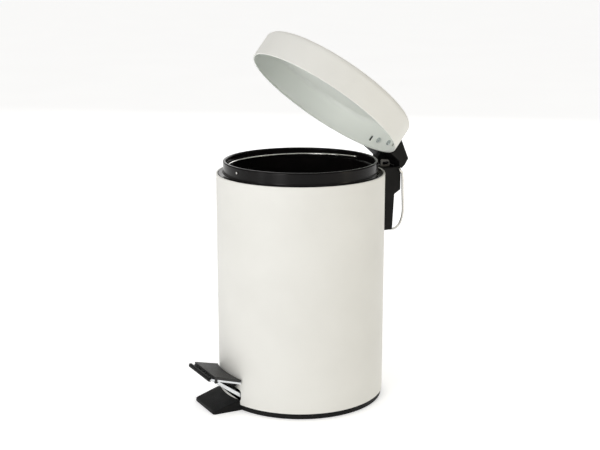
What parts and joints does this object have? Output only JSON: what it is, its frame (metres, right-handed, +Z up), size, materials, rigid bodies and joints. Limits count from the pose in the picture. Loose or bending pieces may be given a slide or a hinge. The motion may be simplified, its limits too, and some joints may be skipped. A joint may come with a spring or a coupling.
{
  "type": "pedal trash can",
  "caption": "Small round pedal bin with a hinged lid, lift-out bucket, foot pedal linked to the lid by a push rod, and a wire carry handle.",
  "frame": {"origin": "centre of the flat underside of the base", "axes": "+Z up, -Y towards the pedal, +Y towards the lid's hinge, +X to the right of the lid's hinge seen from behind the pedal"},
  "size_m": [0.1704, 0.2296, 0.3722],
  "materials": {
    "cream_paint": "satin cream-white paint on steel",
    "black_plastic": "fine-grained black moulded plastic",
    "bucket_plastic": "semi-gloss black plastic",
    "zinc": "bright zinc-plated steel",
    "bright_wire": "bright plated wire",
    "pad_rubber": "matt non-slip rubber"
  },
  "bodies": {
    "body": {"body_shell": "cream_paint", "base": "black_plastic", "base_pad_1": "pad_rubber", "base_pad_2": "pad_rubber", "base_pad_3": "pad_rubber", "hinge_bracket": "black_plastic", "bracket_rivet_1": "zinc", "bracket_rivet_2": "zinc", "bracket_rivet_3": "zinc", "bracket_rivet_4": "zinc", "lever_pin": "zinc", "lever_pin_clip": "zinc", "rod_guide": "black_plastic"},
    "lid": {"lid_shell": "cream_paint", "lid_hinge_block": "black_plastic", "lid_rivet_left": "zinc", "lid_rivet_right": "zinc"},
    "pedal": {"pedal_lever": "zinc", "pedal_pad": "black_plastic", "pedal_filler": "black_plastic", "pedal_lip": "black_plastic"},
    "rod": {"push_rod": "zinc", "rod_head": "black_plastic", "rod_foot": "black_plastic"},
    "handle": {"carry_handle": "bright_wire"},
    "bucket": {"inner_bucket": "bucket_plastic"},
    "bail": {"bucket_bail": "bright_wire"}
  },
  "joints": [
    {"name": "lid_hinge", "type": "hinge", "parent": "body", "child": "lid", "pos_m": [0, 0.1013, 0.2299], "axis": [-1, 0, 0], "range_deg": [-38.4, 46.6]},
    {"name": "pedal_pivot", "type": "hinge", "parent": "body", "child": "pedal", "pos_m": [0, -0.058, 0.019], "axis": [1, 0, 0], "range_deg": [-4.5, 5.5]},
    {"name": "rod_slide", "type": "slide", "parent": "body", "child": "rod", "axis": [0, 0, 1], "range_m": [-0.0105, 0.0128]},
    {"name": "handle_swing", "type": "hinge", "parent": "body", "child": "handle", "pos_m": [0, 0.1013, 0.2299], "axis": [1, 0, 0], "range_deg": [0, 110]},
    {"name": "bucket_lift", "type": "slide", "parent": "body", "child": "bucket", "axis": [0, 0, 1], "range_m": [0, 0.012]},
    {"name": "bail_swing", "type": "hinge", "parent": "bucket", "child": "bail", "pos_m": [0, 0, 0.2394], "axis": [-0.1736, 0.9848, 0], "range_deg": [0, 10]}
  ],
  "couplings": [
    {"joint": "pedal_pivot", "follows": "lid_hinge", "ratio": 0.11375},
    {"joint": "rod_slide", "follows": "lid_hinge", "m_per_rad": 0.01547}
  ]
}
